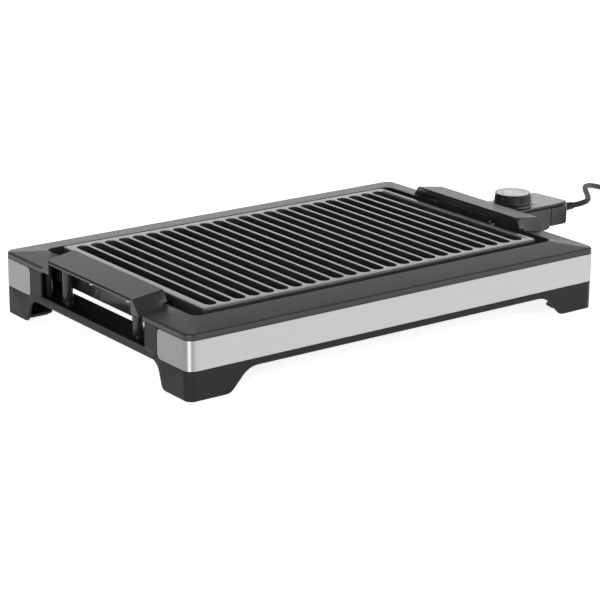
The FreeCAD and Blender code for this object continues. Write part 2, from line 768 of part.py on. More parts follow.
def lower_case_shape():
    outer = prism(case_side(0.0, 7.0), "xz", -case_half, case_half)
    outer = outer.common(block((case_start, case_end), (-case_half, case_half),
                               (0, case_parting), case_corner))
    inner_half = case_half - case_wall
    cavity = prism(case_side(case_wall, 2.6), "xz", -inner_half, inner_half)
    cavity = cavity.common(block((case_start + case_wall, case_end - case_wall), (-inner_half, inner_half),
                                 (0, 90), case_corner - case_wall))
    groove = without(block((tail_start - 0.5, tail_start + 0.9), (-case_half - 1, case_half + 1), (0, 90)),
                     [block((tail_start - 1, tail_start + 2), (-case_half + 0.8, case_half - 0.8),
                            (tail_bottom + 0.8, 91))])
    cuts = [cavity, groove,
            block((case_start - 1, case_start + case_wall + 1), (-nose_half, nose_half),
                  (nose_low, nose_high)),
            rod(relief_neck_radius, (case_end - case_wall - 1, 0, cord_axis_z),
                (case_end + 1, 0, cord_axis_z))]
    cuts += [rod(screw_bore + 0.2, (x, y, 40), (x, y, 50)) for x, y in case_screw_spots]
    cuts += [rod(2.9, (x, y, 40), (x, y, case_bottom + 1.2)) for x, y in case_screw_spots]
    return without(outer, cuts)


def upper_case_shape():
    """Flat cover with a shadow gap under its edge, a nesting rim, the knob's collar and bosses."""
    plan = [(case_start + 0.5, -case_half, 4.0), (tail_start + 6, -case_half, 30.0),
            (case_end + 1.0, -case_half + 3.5, 4.5), (case_end - 5.0, case_half, 5.0),
            (case_start + 0.5, case_half, 4.0)]
    cover = prism(plan, "xy", cover_bottom, cover_top)
    gap = case_wall + 0.1
    rim_wall = 1.6
    rim_outer = block((case_start + gap, case_end - gap - 3), (-case_half + gap, case_half - gap),
                      (case_parting - 2.5, cover_bottom), case_corner - case_wall)
    rim_inner = block((case_start + gap + rim_wall, case_end - gap - 3 - rim_wall),
                      (-case_half + gap + rim_wall, case_half - gap - rim_wall),
                      (case_parting - 6, cover_bottom), 1.2)
    rim = without(rim_outer, [rim_inner])
    collar = rod(collar_radius, (knob_x, 0, cover_top - 0.5), (knob_x, 0, cover_top + collar_height))
    bosses = [rod(3.3, (x, y, case_bottom + case_wall), (x, y, cover_bottom + 0.5))
              for x, y in case_screw_spots]
    whole = joined([cover, rim, collar] + bosses)
    cuts = [rod(spindle_radius + 0.5, (knob_x, 0, 60), (knob_x, 0, 80)),
            rod(lens_radius, (lamp_x, lamp_y, 60), (lamp_x, lamp_y, 80))]
    cuts += [rod(screw_bore, (x, y, 40), (x, y, 62)) for x, y in case_screw_spots]
    return without(whole, cuts)


lens_radius = 2.5
keep("controller_lower_case", lower_case_shape())
keep("controller_upper_case", upper_case_shape())
keep("case_screws", *[screw(2.7, 1.2, screw_radius, 14.0, (x, y, case_bottom))
                      for x, y in case_screw_spots])

# ---- controller: inside ----
case_floor = case_bottom + case_wall
switch_top = 60.5
switch_half = 15.0
bush_bore = spindle_radius + running_clearance
switch = without(
    joined([block((knob_x - switch_half, knob_x + switch_half), (-12, 12), (case_floor, switch_top), 1.5),
            rod(5.0, (knob_x, 0, switch_top - 1), (knob_x, 0, switch_top + 2.5))]),
    [rod(bush_bore, (knob_x, 0, switch_top - 6.5), (knob_x, 0, switch_top + 4))])
keep("thermostat_switch", switch)
keep("bimetal_strip", block((probe_end, knob_x - switch_half), (-4, 4),
                            (element_z - 1.2, element_z + 1.2)))
cam_low = switch_top + 2.8
keep("cam_disc", without(rod(8.0, (knob_x, 0, cam_low), (knob_x, 0, cam_low + 2.2)),
                         [rod(spindle_radius, (knob_x, 0, cam_low - 1), (knob_x, 0, cam_low + 4))]))
lens_low = cover_bottom - 0.8
keep("indicator_lamp", rod(2.3, (lamp_x, lamp_y, lens_low - 12), (lamp_x, lamp_y, lens_low)))
keep("lamp_lens", joined([rod(lens_radius, (lamp_x, lamp_y, lens_low), (lamp_x, lamp_y, cover_top + 0.3)),
                          rod(lens_radius + 0.8, (lamp_x, lamp_y, lens_low),
                              (lamp_x, lamp_y, cover_bottom))]))
keep("terminal_block", block((tail_start + 1, tail_start + 14), (-9, 9), (tail_bottom + case_wall, 60), 1.0))

# ---- knob ----
knob_outer = cone(knob_radius, knob_radius - 0.8, (knob_x, 0, knob_low), (knob_x, 0, knob_top))
knob_edges = [e for e in knob_outer.Edges if e.BoundBox.ZMin > knob_top - 0.01]
knob_outer = knob_outer.makeFillet(0.8, knob_edges)
dial_low = knob_top - 1.0
knob_roof = knob_top - 3.2
knob_hub = rod(6.5, (knob_x, 0, knob_low + 0.2), (knob_x, 0, knob_roof + 0.2))
knob = without(knob_outer, [rod(knob_radius - 2.4, (knob_x, 0, knob_low - 1), (knob_x, 0, knob_roof)),
                            rod(dial_radius, (knob_x, 0, dial_low), (knob_x, 0, knob_top + 1))])
knob = without(joined([knob, knob_hub]), [rod(spindle_radius, (knob_x, 0, 60), (knob_x, 0, knob_roof - 0.8))])
keep("knob_body", knob)
keep("knob_dial", rod(dial_radius, (knob_x, 0, dial_low), (knob_x, 0, knob_top - 0.15)))
keep("knob_spindle", rod(spindle_radius, (knob_x, 0, switch_top - 6), (knob_x, 0, knob_roof - 0.8)))


# ---- cord ----
def relief_shape():
    """Tapered sleeve with a flared end, held in the case by a neck and an inner flange."""
    z = cord_axis_z
    inner_face = case_end - case_wall
    stations = [(inner_face - 2, relief_flange_radius), (inner_face, relief_flange_radius),
                (inner_face, relief_neck_radius), (case_end, relief_neck_radius), (case_end, 5.8),
                (case_end + 17, 5.0), (case_end + 19, 6.0), (case_end + 22, 5.9), (relief_end, 4.2)]
    points = [V(x, 0, z + r) for x, r in stations]
    points = [V(stations[0][0], 0, z)] + points + [V(relief_end, 0, z)]
    face = Part.Face(Part.makePolygon(points + points[:1]))
    return face.revolve(V(0, 0, z), V(1, 0, 0), 360)


keep("strain_relief", relief_shape())


def route_edges(points):
    """Straight runs joined by tangent arcs, each as large as its two runs allow."""
    corners = [V(*p) for p in points]
    edges = []
    last = corners[0]
    for i in range(1, len(corners) - 1):
        a, b, c = corners[i - 1], corners[i], corners[i + 1]
        turn = math.pi - (a - b).getAngle(c - b)
        shorter = min((b - a).Length, (c - b).Length)
        radius = 0.45 * shorter / math.tan(turn / 2)
        print("cord point %2d  run %5.1f  turn %5.1f  radius %6.1f"
              % (i, (b - a).Length, math.degrees(turn), radius))
        start, middle, end = corner_points(a, b, c, radius)
        edges.append(Part.LineSegment(last, start).toShape())
        edges.append(Part.Arc(start, middle, end).toShape())
        last = end
    edges.append(Part.LineSegment(last, corners[-1]).toShape())
    return edges


cord_wire = Part.Wire(route_edges(cord_route))
cord = swept(cord_wire, circle_at(cord_radius, cord_route[0], (1, 0, 0)))
keep("power_cord", cord)
print("cord run %.0f, volume against section times run %.3f"
      % (cord_wire.Length, cord.Volume / (math.pi * cord_radius ** 2 * cord_wire.Length)))

coil_height = coil_layers * coil_pitch
lay_z = cord_route[-1][2]
ring = without(rod(coil_outer_turn + cord_radius, (coil_x, coil_y, 0), (coil_x, coil_y, coil_height)),
               [rod(coil_inner_turn - cord_radius, (coil_x, coil_y, -1), (coil_x, coil_y, coil_height + 1))])
entry = rod(cord_radius, (coil_x + coil_outer_turn, coil_y + coil_entry, lay_z),
            (coil_x + coil_outer_turn, coil_y, lay_z))
exit_y = coil_y - coil_outer_turn
exit_z = coil_height - coil_pitch / 2
plug_back = coil_x - coil_stub
leaving = rod(cord_radius, (coil_x, exit_y, exit_z), (plug_back, exit_y, exit_z))
keep("cord_coil", joined([ring, entry, leaving]))
coil_length = coil_turns * math.pi * (coil_inner_turn + coil_outer_turn) + coil_entry + coil_stub
print("coil holds %.0f, whole cord %.0f" % (coil_length, coil_length + cord_wire.Length))


def plug_shape():
    """Round two-pin plug lying on its side: tapered grip towards the cord, flat pin face."""
    x0 = plug_back
    x1 = x0 - plug_grip
    x2 = x1 - plug_length
    shoulder = x1 - 12
    neck_radius = plug_radius - 5.0
    tail = frustum(circle_at(6.5, (x0, exit_y, exit_z), (-1, 0, 0)),
                   circle_at(neck_radius, (x1, exit_y, plug_radius - 3), (-1, 0, 0)))
    body = frustum(circle_at(neck_radius, (x1, exit_y, plug_radius - 3), (-1, 0, 0)),
                   circle_at(plug_radius, (shoulder, exit_y, plug_radius), (-1, 0, 0)))
    head = rod(plug_radius, (shoulder, exit_y, plug_radius), (x2, exit_y, plug_radius))
    return joined([tail, body, head])


keep("plug_body", plug_shape())
pin_face = plug_back - plug_grip - plug_length
keep("plug_pins", *[rod(2.4, (pin_face, y, plug_radius), (pin_face - 19, y, plug_radius))
                    for y in (exit_y - 9.5, exit_y + 9.5)])

# ---- origin and export ----
on_cord = ("strain_relief", "power_cord", "cord_coil", "plug_body", "plug_pins")
standing = [solid for name in nodes if name not in on_cord for solid in nodes[name]]
low = min(solid.BoundBox.XMin for solid in standing)
high = max(solid.BoundBox.XMax for solid in standing)
origin_x = (low + high) / 2
print("origin lies %.3f along X from the frame's middle" % origin_x)

os.makedirs("parts", exist_ok=True)
for name, solids in nodes.items():
    shape = solids[0] if len(solids) == 1 else Part.makeCompound(solids)
    shape.translate(V(-origin_x, 0, 0))
    shape.exportStep("parts/" + name + ".step")
    print("%-24s solids %2d  volume %10.1f  valid %s"
          % (name, len(solids), shape.Volume, shape.isValid()))
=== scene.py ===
import json
import math

import bmesh
import bpy
import numpy as np
from mathutils import Euler, Matrix, Vector


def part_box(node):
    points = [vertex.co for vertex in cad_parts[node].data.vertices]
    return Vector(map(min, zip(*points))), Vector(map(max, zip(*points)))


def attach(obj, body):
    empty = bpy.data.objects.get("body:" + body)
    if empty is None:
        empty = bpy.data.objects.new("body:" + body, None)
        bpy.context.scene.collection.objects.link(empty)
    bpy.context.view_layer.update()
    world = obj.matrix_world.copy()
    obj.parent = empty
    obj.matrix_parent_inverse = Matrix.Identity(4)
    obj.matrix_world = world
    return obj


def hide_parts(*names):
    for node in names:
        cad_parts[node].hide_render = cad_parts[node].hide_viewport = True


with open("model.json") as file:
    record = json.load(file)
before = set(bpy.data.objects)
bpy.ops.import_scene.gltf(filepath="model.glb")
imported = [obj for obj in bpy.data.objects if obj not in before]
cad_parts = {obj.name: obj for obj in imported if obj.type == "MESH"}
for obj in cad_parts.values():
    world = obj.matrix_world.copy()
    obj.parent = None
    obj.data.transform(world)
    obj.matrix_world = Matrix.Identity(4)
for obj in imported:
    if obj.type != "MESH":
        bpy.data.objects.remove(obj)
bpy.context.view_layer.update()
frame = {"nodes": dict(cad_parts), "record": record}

deckLow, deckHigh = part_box("top_deck")
midX = (deckLow.x + deckHigh.x) / 2    # middle of the frame; the controller shifts the origin off it
mm = 0.001


def onFrame(x, y, z):
    # a point given in millimetres from the middle of the frame, in metres from the origin
    return Vector((midX + x * mm, y * mm, z * mm))


# camera
cameraValues = {
    "target": (-1.41, 0.0, 11.70),    # mm from the frame's middle
    "azimuth": -36.447,
    "elevation": 17.431,
    "roll": 0.349,
    "distance": 2.28434,
    "lens": 128.294,
    "sensor": 36.0,
}


def addCamera():
    values = cameraValues
    azimuth, elevation = math.radians(values["azimuth"]), math.radians(values["elevation"])
    turn = Euler((math.pi / 2 - elevation, 0, azimuth)).to_matrix()
    turn = turn @ Matrix.Rotation(math.radians(values["roll"]), 3, "Z")
    data = bpy.data.cameras.new("camera")
    data.lens, data.sensor_width = values["lens"], values["sensor"]
    data.clip_end = 50
    camera = bpy.data.objects.new("camera", data)
    camera.matrix_world = turn.to_4x4()
    camera.location = onFrame(*values["target"]) + turn @ Vector((0, 0, values["distance"]))
    bpy.context.scene.collection.objects.link(camera)
    bpy.context.scene.camera = camera


addCamera()
print("stage: camera")


# node groups and materials

def addGroup(name, inputs, outputs):
    # an empty node group: inputs are (name, kind, value), outputs are (name, kind)
    group = bpy.data.node_groups.new(name, "ShaderNodeTree")
    for label, kind, value in inputs:
        socket = group.interface.new_socket(label, in_out="INPUT", socket_type="NodeSocket" + kind)
        socket.default_value = value
    for label, kind in outputs:
        group.interface.new_socket(label, in_out="OUTPUT", socket_type="NodeSocket" + kind)
    return group, group.nodes.new("NodeGroupInput"), group.nodes.new("NodeGroupOutput")


def addNode(tree, kind, **settings):
    node = tree.nodes.new("ShaderNode" + kind)
    for key, value in settings.items():
        setattr(node, key, value)
    return node


def addMath(tree, operation, a, b=None, clamp=False):
    node = addNode(tree, "Math", operation=operation, use_clamp=clamp)
    for i, value in enumerate((a, b)):
        if value is None:
            continue
        if isinstance(value, (int, float)):
            node.inputs[i].default_value = value
        else:
            tree.links.new(value, node.inputs[i])
    return node.outputs[0]


def addMix(tree, factor, a, b):
    node = addNode(tree, "Mix", data_type="RGBA")
    tree.links.new(factor, node.inputs["Factor"])
    for socket, value in ((node.inputs["A"], a), (node.inputs["B"], b)):
        if isinstance(value, (tuple, list)):
            socket.default_value = (*value, 1)
        else:
            tree.links.new(value, socket)
    return node.outputs["Result"]


def addNoise(tree, vector, scale, detail=2.0, roughness=0.5):
    node = addNode(tree, "TexNoise")
    node.inputs["Detail"].default_value = detail
    node.inputs["Roughness"].default_value = roughness
    if isinstance(scale, (int, float)):
        node.inputs["Scale"].default_value = scale
    else:
        tree.links.new(scale, node.inputs["Scale"])
    tree.links.new(vector, node.inputs["Vector"])
    return node.outputs["Fac"]


def addRange(tree, value, fromLow, fromHigh, toLow, toHigh):
    node = addNode(tree, "MapRange")
    tree.links.new(value, node.inputs["Value"])
    ends = {"From Min": fromLow, "From Max": fromHigh, "To Min": toLow, "To Max": toHigh}
    for label, number in ends.items():
        if isinstance(number, (int, float)):
            node.inputs[label].default_value = number
        else:
            tree.links.new(number, node.inputs[label])
    return node.outputs["Result"]


def grainGroup():
    # spark-eroded or moulded grain: a fine height, a slow tint mask and a roughness that follows both
    group, start, end = addGroup(
        "mouldedGrain",
        [("Grain", "Float", 2500.0), ("Roughness", "Float", 0.4), ("Spread", "Float", 0.08)],
        [("Tint", "Float"), ("Roughness", "Float"), ("Height", "Float")])
    where = addNode(group, "TexCoord").outputs["Object"]
    fine = addNoise(group, where, start.outputs["Grain"], 3.0)
    slow = addNoise(group, where, 14.0, 4.0, 0.6)
    halfFine = addMath(group, "MULTIPLY", fine, 0.5)
    both = addMath(group, "ADD", halfFine, addMath(group, "MULTIPLY", slow, 0.5))
    swing = addMath(group, "MULTIPLY", addMath(group, "SUBTRACT", both, 0.5), start.outputs["Spread"])
    swing = addMath(group, "MULTIPLY", swing, 2.0)
    rough = addMath(group, "ADD", start.outputs["Roughness"], swing, clamp=True)
    group.links.new(addRange(group, slow, 0.3, 0.7, 0.0, 1.0), end.inputs["Tint"])
    group.links.new(rough, end.inputs["Roughness"])
    group.links.new(fine, end.inputs["Height"])
    return group


def edgeGroup():
    # mask for a painted highlight on edges: high where the surface turns sharply outwards, broken into
    # patches by noise
    group, start, end = addGroup("paintedEdgeHighlight", [("Reach", "Float", 0.1)], [("Mask", "Float")])
    point = addNode(group, "NewGeometry").outputs["Pointiness"]
    where = addNode(group, "TexCoord").outputs["Object"]
    patchy = addNoise(group, where, 90.0, 3.0)
    high = addMath(group, "ADD", 0.5, start.outputs["Reach"])
    mask = addRange(group, point, 0.5, high, 0.0, 1.0)
    patches = addRange(group, patchy, 0.3, 0.6, 0.4, 1.0)
    group.links.new(addMath(group, "MULTIPLY", mask, patches, clamp=True), end.inputs["Mask"])
    return group


def lineGroup():
    # long fine scratches: a tint mask, a roughness and a height from one noise stretched along them
    group, start, end = addGroup(
        "brushedLines",
        [("Stretch", "Vector", (6.0, 900.0, 900.0)), ("Roughness", "Float", 0.4)],
        [("Tint", "Float"), ("Roughness", "Float"), ("Height", "Float")])
    mapping = addNode(group, "Mapping")
    group.links.new(start.outputs["Stretch"], mapping.inputs["Scale"])
    group.links.new(addNode(group, "TexCoord").outputs["Object"], mapping.inputs["Vector"])
    streak = addNoise(group, mapping.outputs["Vector"], 1.0, 4.0, 0.6)
    swing = addRange(group, streak, 0.25, 0.75, -0.05, 0.07)
    rough = addMath(group, "ADD", start.outputs["Roughness"], swing)
    group.links.new(addRange(group, streak, 0.3, 0.7, 0.0, 1.0), end.inputs["Tint"])
    group.links.new(rough, end.inputs["Roughness"])
    group.links.new(streak, end.inputs["Height"])
    return group


grain = grainGroup()
edgeHighlightGroup = edgeGroup()
brushed = lineGroup()


def newMaterial(name):
    material = bpy.data.materials.new(name)
    material.use_nodes = True
    tree = material.node_tree
    return material, tree, tree.nodes["Principled BSDF"]


def addBump(tree, shader, height, strength, distance):
    bump = addNode(tree, "Bump")
    bump.inputs["Strength"].default_value = strength
    bump.inputs["Distance"].default_value = distance
    tree.links.new(height, bump.inputs["Height"])
    tree.links.new(bump.outputs["Normal"], shader.inputs["Normal"])


def mouldedPlastic(name, dark, light, roughness, grainScale, strength, edgeHighlight=None, ior=1.4):
    # dark and light are the tint's two ends; the optional edge colour is a painted highlight given to sharp
    # outward edges
    material, tree, shader = newMaterial(name)
    node = addNode(tree, "Group")
    node.node_tree = grain
    node.inputs["Grain"].default_value = grainScale
    node.inputs["Roughness"].default_value = roughness
    colour = addMix(tree, node.outputs["Tint"], dark, light)
    if edgeHighlight:
        # sharp outward edges take the lighter colour: a painted highlight
        edge = addNode(tree, "Group")
        edge.node_tree = edgeHighlightGroup
        colour = addMix(tree, edge.outputs["Mask"], colour, edgeHighlight)
    tree.links.new(colour, shader.inputs["Base Color"])
    tree.links.new(node.outputs["Roughness"], shader.inputs["Roughness"])
    shader.inputs["IOR"].default_value = ior
    addBump(tree, shader, node.outputs["Height"], strength, 0.0001)
    return material


def brushedMetal(name, dark, light, roughness, anisotropy=0.6):
    # brushed along the grill's length
    material, tree, shader = newMaterial(name)
    node = addNode(tree, "Group")
    node.node_tree = brushed
    node.inputs["Roughness"].default_value = roughness
    tree.links.new(addMix(tree, node.outputs["Tint"], dark, light), shader.inputs["Base Color"])
    tree.links.new(node.outputs["Roughness"], shader.inputs["Roughness"])
    shader.inputs["Metallic"].default_value = 1.0
    shader.inputs["Anisotropic"].default_value = anisotropy
    shader.inputs["Anisotropic Rotation"].default_value = 0.25    # the gloss spreads across the lines
    tangent = addNode(tree, "Tangent", direction_type="RADIAL", axis="Z")
    tree.links.new(tangent.outputs[0], shader.inputs["Tangent"])
    addBump(tree, shader, node.outputs["Height"], 0.12, 0.0001)
    return material


def plainMetal(name, dark, light, roughness, metallic=1.0):
    material, tree, shader = newMaterial(name)
    node = addNode(tree, "Group")
    node.node_tree = grain
    node.inputs["Grain"].default_value = 900.0
    node.inputs["Roughness"].default_value = roughness
    tree.links.new(addMix(tree, node.outputs["Tint"], dark, light), shader.inputs["Base Color"])
    tree.links.new(node.outputs["Roughness"], shader.inputs["Roughness"])
    shader.inputs["Metallic"].default_value = metallic
    addBump(tree, shader, node.outputs["Height"], 0.1, 0.0001)
    return material


finishes = {
    "frame_plastic": mouldedPlastic("framePlastic", (0.008, 0.008, 0.0082), (0.012, 0.012, 0.0122),
                                    0.4, 1800, 0.15, ior=1.25),
    "deck_plastic": mouldedPlastic("deckPlastic", (0.019, 0.019, 0.0195), (0.025, 0.025, 0.0255),
                                   0.3, 2600, 0.08),
    "band_steel": brushedMetal("bandSteel", (0.47, 0.47, 0.47), (0.56, 0.56, 0.56), 0.5, anisotropy=0.95),
    "foot_rubber": mouldedPlastic("footRubber", (0.018, 0.018, 0.018), (0.028, 0.028, 0.028),
                                  0.75, 900, 0.4),
    "screw_steel": plainMetal("screwSteel", (0.45, 0.45, 0.46), (0.6, 0.6, 0.61), 0.35),
    "tray_coat": mouldedPlastic("trayCoat", (0.03, 0.03, 0.031), (0.045, 0.045, 0.046),
                                0.4, 1200, 0.25),
    # plate coat: the lighter colour on its outward edges is a painted highlight
    "plate_coat": mouldedPlastic("plateCoat", (0.02, 0.0205, 0.0205), (0.03, 0.0305, 0.0305),
                                 0.24, 1900, 0.1,
                                 edgeHighlight=(0.08, 0.08, 0.08), ior=1.75),
    "sheath_steel": plainMetal("sheathSteel", (0.10, 0.11, 0.10), (0.16, 0.16, 0.15), 0.5, 0.8),
    "pin_metal": plainMetal("pinMetal", (0.7, 0.69, 0.66), (0.8, 0.79, 0.77), 0.22),
    "ceramic": mouldedPlastic("ceramic", (0.76, 0.74, 0.68), (0.85, 0.83, 0.78), 0.6, 800, 0.3),
    "clip_steel": plainMetal("clipSteel", (0.42, 0.43, 0.44), (0.56, 0.57, 0.58), 0.4),
    "handle_plastic": mouldedPlastic("handlePlastic", (0.014, 0.014, 0.0145), (0.02, 0.02, 0.0205),
                                     0.26, 2600, 0.07, ior=1.48),
    "shroud_plastic": mouldedPlastic("shroudPlastic", (0.012, 0.012, 0.012), (0.018, 0.018, 0.018),
                                     0.5, 1500, 0.3),
    "carrier_plastic": mouldedPlastic("carrierPlastic", (0.03, 0.03, 0.03), (0.045, 0.045, 0.045),
                                      0.5, 1500, 0.3),
    "contact_brass": plainMetal("contactBrass", (0.62, 0.46, 0.2), (0.74, 0.58, 0.3), 0.3),
    "probe_steel": brushedMetal("probeSteel", (0.6, 0.6, 0.6), (0.75, 0.75, 0.75), 0.25),
    "case_plastic": mouldedPlastic("casePlastic", (0.014, 0.014, 0.0145), (0.02, 0.02, 0.0205),
                                   0.24, 2600, 0.07, ior=1.55),
    "switch_resin": mouldedPlastic("switchResin", (0.09, 0.07, 0.05), (0.13, 0.1, 0.08),
                                   0.55, 900, 0.3),
    "cam_plastic": mouldedPlastic("camPlastic", (0.66, 0.66, 0.6), (0.74, 0.74, 0.69),
                                  0.4, 900, 0.2),
    "lamp_glass": mouldedPlastic("lampGlass", (0.85, 0.5, 0.4), (0.9, 0.6, 0.5), 0.1, 300, 0.05),
    "lens_red": mouldedPlastic("lensRed", (0.35, 0.02, 0.015), (0.45, 0.04, 0.02), 0.12, 600, 0.05),
    "knob_plastic": mouldedPlastic("knobPlastic", (0.010, 0.010, 0.0105), (0.014, 0.014, 0.0145),
                                   0.26, 2400, 0.14),
    "dial_silver": plainMetal("dialSilver", (0.42, 0.42, 0.43), (0.55, 0.55, 0.56), 0.32, 0.6),
    "cord_vinyl": mouldedPlastic("cordVinyl", (0.008, 0.008, 0.008), (0.013, 0.013, 0.013),
                                 0.5, 1200, 0.25, ior=1.25),
    "plug_plastic": mouldedPlastic("plugPlastic", (0.012, 0.012, 0.012), (0.018, 0.018, 0.018),
                                   0.32, 1500, 0.2),
}
slotOf = {entry["node"]: entry["material_slot"] for entry in frame["record"]["subparts"]}
bodyOf = {node: body for body, nodes in frame["record"]["behaviour"]["bodies"].items() for node in nodes}


def setMaterial(piece, material):
    piece.data.materials.clear()
    piece.data.materials.append(material)


for name, node in frame["nodes"].items():
    setMaterial(node, finishes[slotOf[name]])
print("stage: materials")


# softened copies of the moulded and pressed parts

edgeRounding = {    # radius in mm of the broken edges
    "front_shell": 0.5,
    "rear_shell": 0.5,
    "left_side_panel": 0.5,
    "right_side_panel": 0.5,
    "top_deck": 0.6,
    "trim_band_front": 0.15,
    "trim_band_rear": 0.15,
    "grill_plate": 0.6,
    "left_handle": 0.6,
    "right_handle": 0.6,
    "controller_lower_case": 0.4,
    "controller_upper_case": 0.4,
    "socket_shroud": 0.3,
    "foot_pads": 0.3,
}


def camelName(nodeName, ending=""):
    first, *rest = nodeName.split("_")
    return first + "".join(word.capitalize() for word in rest) + ending


def softenedCopy(nodeName, radius):
    # the node's own mesh, merged, with every sharp edge broken by a small round
    mesh = frame["nodes"][nodeName].data.copy()
    work = bmesh.new()
    work.from_mesh(mesh)
    bmesh.ops.remove_doubles(work, verts=work.verts, dist=2e-6)
    bmesh.ops.dissolve_limit(work, angle_limit=math.radians(0.5), verts=work.verts, edges=work.edges)
    bmesh.ops.triangulate(work, faces=work.faces, quad_method="BEAUTY", ngon_method="BEAUTY")
    work.to_mesh(mesh)
    work.free()
    piece = bpy.data.objects.new(camelName(nodeName), mesh)
    bpy.context.scene.collection.objects.link(piece)
    mesh.polygons.foreach_set("use_smooth", [True] * len(mesh.polygons))
    mesh.set_sharp_from_angle(angle=math.radians(26))
    bevel = piece.modifiers.new("brokenEdges", "BEVEL")
    bevel.width = radius * mm
    bevel.segments = 2
    bevel.limit_method = "ANGLE"
    bevel.angle_limit = math.radians(38)
    bevel.use_clamp_overlap = False
    bevel.loop_slide = False
    bevel.harden_normals = True
    bevel.miter_outer = "MITER_ARC"
    setMaterial(piece, finishes[slotOf[nodeName]])
    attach(piece, bodyOf[nodeName])
    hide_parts(nodeName)


for nodeName, radius in edgeRounding.items():
    softenedCopy(nodeName, radius)
print("stage: softened edges")


# turned pieces: rings of points, one closed surface each

def closedSurface(name, rings, smooth=True):
    # rings is (ring, around, 3) in mm from the frame's middle; both ends close on their mean point
    count, around = rings.shape[:2]
    points = np.vstack([rings.reshape(-1, 3), rings[0].mean(0), rings[-1].mean(0)])
    points = (points + (midX / mm, 0, 0)) * mm
    i, j = np.meshgrid(np.arange(count - 1), np.arange(around), indexing="ij")
    a, b = i * around + j, i * around + (j + 1) % around
    quads = np.stack([a, b, b + around, a + around], -1).reshape(-1, 4).tolist()
    k = np.arange(around)
    first, last = count * around, count * around + 1
    startFan = np.stack([(k + 1) % around, k, np.full(around, first)], -1).tolist()
    top = (count - 1) * around
    endFan = np.stack([top + k, top + (k + 1) % around, np.full(around, last)], -1).tolist()
    mesh = bpy.data.meshes.new(name)
    mesh.from_pydata(points.tolist(), [], quads + startFan + endFan)
    mesh.polygons.foreach_set("use_smooth", [smooth] * len(mesh.polygons))
    mesh.set_sharp_from_angle(angle=math.radians(35))
    piece = bpy.data.objects.new(name, mesh)
    bpy.context.scene.collection.objects.link(piece)
    return piece


def wearFinish(piece, slotName, body, *replaced):
    setMaterial(piece, finishes[slotName])
    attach(piece, body)
    if replaced:
        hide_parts(*replaced)


knobLow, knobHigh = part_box("knob_body")
dialLow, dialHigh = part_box("knob_dial")
knobValues = {
    "ribs": 84,
    "ribDepth": 0.32,
    "taper": 1.0,
    "rimRound": 0.7,
    "samplesPerRib": 8,
    "plainFoot": 1.6,    # unribbed heights at the foot and the top
    "plainTop": 2.0,
}


def addKnob():
    # a tapered drum with a rolled rim and a sunken seat for the dial; its side ripples by
    # depth times one less the 1.5th power of the rib wave's sine
    values = knobValues
    x, y = (knobLow.x + knobHigh.x) / 2 / mm - midX / mm, 0.0
    radius = (knobHigh.x - knobLow.x) / 2 / mm
    seat = (dialHigh.x - dialLow.x) / 2 / mm
    low, high, floor = knobLow.z / mm, knobHigh.z / mm, dialLow.z / mm
    top = radius - values["taper"]
    r = values["rimRound"]
    turn = np.linspace(0, math.pi / 2, 6)
    ribFoot, ribTop = low + values["plainFoot"], high - values["plainTop"]
    profile = [(radius - 1.2, low, 0), (radius - 0.3, low, 0), (radius, low + 0.3, 0)]
    profile += [(radius, low + 1.2, 0)]
    profile += [(radius - values["taper"] * t, ribFoot + (ribTop - ribFoot) * t, 1)
                for t in np.linspace(0, 1, 6)]
    profile += [(top + 0.05, high - 1.6, 0)]
    profile += [(top - r + r * math.cos(t), high - r + r * math.sin(t), 0) for t in turn]
    profile += [(seat + 0.25, high, 0), (seat + 0.05, high - 0.2, 0), (seat + 0.05, floor, 0)]
    profile += [(3.0, floor, 0)]
    around = values["ribs"] * values["samplesPerRib"]
    angle = np.linspace(0, 2 * math.pi, around, endpoint=False)
    wave = values["ribDepth"] * (1 - np.abs(np.sin(angle * values["ribs"] / 2)) ** 1.5)
    rings = np.zeros((len(profile), around, 3))
    for i, (size, z, ribbed) in enumerate(profile):
        reach = size - ribbed * wave
        rings[i, :, 0] = x + reach * np.cos(angle)
        rings[i, :, 1] = y + reach * np.sin(angle)
        rings[i, :, 2] = z
    wearFinish(closedSurface("ribbedKnob", rings), "knob_plastic", "knob", "knob_body")


dialValues = {
    "grooveRadius": 15.6,
    "grooveWidth": 0.5,
    "grooveDepth": 0.3,
    "dish": 0.25,
    "marks": 11,
    "markFrom": 11.2,
    "firstMarkLonger": 3.0,
    "markTo": 13.8,
    "markHalfWidth": 0.28,
    "markSweep": (225, -45),    # degrees at the first and the last mark
}


